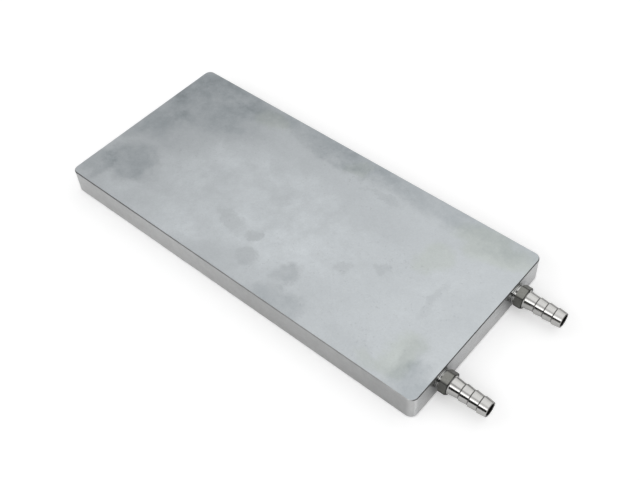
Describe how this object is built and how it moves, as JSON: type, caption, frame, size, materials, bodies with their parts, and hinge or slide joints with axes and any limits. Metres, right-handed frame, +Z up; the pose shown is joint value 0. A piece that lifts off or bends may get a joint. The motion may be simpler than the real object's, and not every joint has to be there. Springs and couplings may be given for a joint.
{
  "type": "liquid cooling cold plate",
  "caption": "Flat aluminium cold plate with a serpentine coolant channel inside and barbed hose fittings screwed into one end.",
  "frame": {"origin": "centre of the plate's underside", "axes": "+X along the plate towards the hose fittings, +Z up out of the cooling face, +Y towards the outlet fitting"},
  "size_m": [0.2675, 0.11, 0.015],
  "materials": {
    "plate": "machined, matt, cloudy",
    "cover": "machined, matt",
    "fitting": "turned and polished, hexagon dull",
    "seal": "white sealing tape"
  },
  "bodies": {
    "root": {"channel_plate": "plate", "cover_plate": "cover", "inlet_fitting": "fitting", "outlet_fitting": "fitting", "inlet_thread_seal": "seal", "outlet_thread_seal": "seal"}
  },
  "joints": []
}
